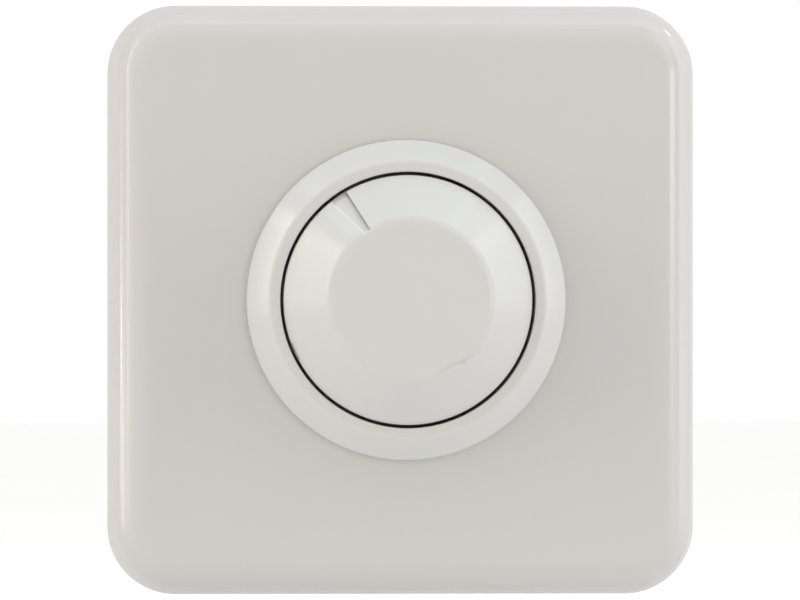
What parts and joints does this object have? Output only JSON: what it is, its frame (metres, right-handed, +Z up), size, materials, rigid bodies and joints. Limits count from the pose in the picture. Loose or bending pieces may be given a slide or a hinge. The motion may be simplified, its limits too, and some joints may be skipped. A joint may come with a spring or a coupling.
{
  "type": "rotary dimmer switch",
  "caption": "Flush-mounted rotary dimmer: square cover plate with raised trim ring and push-and-turn knob, on a steel frame with claws and a moulded housing behind.",
  "frame": {"origin": "middle of the cover plate, on the wall plane, midway between the wall box screw holes", "axes": "+Y into the wall, along the knob's axis; +Z up; +X to the right as seen from the room"},
  "size_m": [0.086, 0.041, 0.086],
  "materials": {
    "plate": "glossy off-white moulded plastic",
    "ring": "satin off-white moulded plastic",
    "knob": "satin off-white moulded plastic",
    "brass_nut": "machined brass",
    "zinc_steel": "zinc plated sheet steel",
    "screw_steel": "zinc plated steel",
    "spring_steel": "spring steel wire",
    "housing": "matt moulded thermoset",
    "board": "glass fibre laminate with solder mask",
    "control_case": "pressed and plated case",
    "bush": "die-cast, threaded",
    "dark_plastic": "black moulded plastic",
    "wiper_brass": "spring brass",
    "wafer": "brown phenolic laminate",
    "track": "printed carbon film",
    "tinned": "tinned metal",
    "plunger": "natural moulded plastic",
    "ferrite": "coated iron powder ring",
    "copper": "enamelled copper wire",
    "film_case": "moulded box case",
    "timing_case": "dipped epoxy",
    "pad": "thermal pad",
    "diac_glass": "coated glass body",
    "resistor": "lacquered body",
    "fuse_glass": "clear glass tube",
    "adjuster_blue": "blue moulded plastic",
    "adjuster_white": "white moulded plastic",
    "clamp_brass": "brass clamp"
  },
  "bodies": {
    "root": {"cover_plate": "plate", "trim_ring": "ring", "retaining_nut": "brass_nut", "lock_washer": "screw_steel", "bush_nut": "brass_nut", "support_frame": "zinc_steel", "housing": "housing", "housing_screws": "screw_steel", "circuit_board": "board", "solder_joints": "tinned", "pot_bush": "bush", "pot_case": "control_case", "pot_wafer": "wafer", "pot_track": "track", "pot_terminals": "tinned", "switch_body": "dark_plastic", "switch_base": "wafer", "switch_spring": "spring_steel", "switch_pins": "tinned", "switch_contacts": "wiper_brass", "choke_core": "ferrite", "choke_winding": "copper", "film_capacitor": "film_case", "timing_capacitor": "timing_case", "triac_body": "dark_plastic", "triac_tab": "tinned", "insulating_pad": "pad", "triac_rivet": "screw_steel", "diac": "diac_glass", "resistors": "resistor", "fuse_tube": "fuse_glass", "fuse_caps": "tinned", "fuse_wire": "tinned", "fuse_clips": "clamp_brass", "trimmer_base": "adjuster_blue", "terminal_clamps": "clamp_brass", "terminal_screws": "screw_steel"},
    "rotor": {"pot_rotor": "dark_plastic", "pot_wiper": "wiper_brass"},
    "stem": {"knob": "knob", "knob_clamp_ring": "spring_steel", "pot_shaft": "bush", "shaft_clip": "spring_steel"},
    "plunger": {"switch_plunger": "plunger", "switch_bridge": "wiper_brass"},
    "claw_left": {"left_claw": "zinc_steel", "left_claw_screw": "screw_steel"},
    "claw_right": {"right_claw": "zinc_steel", "right_claw_screw": "screw_steel"},
    "adjuster": {"trimmer_rotor": "adjuster_white"}
  },
  "joints": [
    {"name": "knob_turn", "type": "hinge", "parent": "root", "child": "rotor", "pos_m": [0, 0, 0], "axis": [0, 1, 0], "range_deg": [-116, 184]},
    {"name": "knob_push", "type": "slide", "parent": "rotor", "child": "stem", "axis": [0, 1, 0], "range_m": [0, 0.0016], "stiffness_N_per_m": 1500, "springref_m": -0.002},
    {"name": "switch_press", "type": "slide", "parent": "root", "child": "plunger", "axis": [0, 1, 0], "range_m": [0, 0.0016], "deforming": ["switch_spring"]},
    {"name": "left_claw_swing", "type": "hinge", "parent": "root", "child": "claw_left", "pos_m": [-0.024, -0.00294, 0], "axis": [0, 0, 1], "range_deg": [0, 12]},
    {"name": "right_claw_swing", "type": "hinge", "parent": "root", "child": "claw_right", "pos_m": [0.024, -0.00294, 0], "axis": [0, 0, -1], "range_deg": [0, 12]},
    {"name": "adjuster_turn", "type": "hinge", "parent": "root", "child": "adjuster", "pos_m": [0.0124, 0.0054, -0.008], "axis": [0, 1, 0], "range_deg": [-130, 130]}
  ],
  "couplings": [
    {"joint": "switch_press", "follows": "knob_push", "ratio": 1}
  ]
}
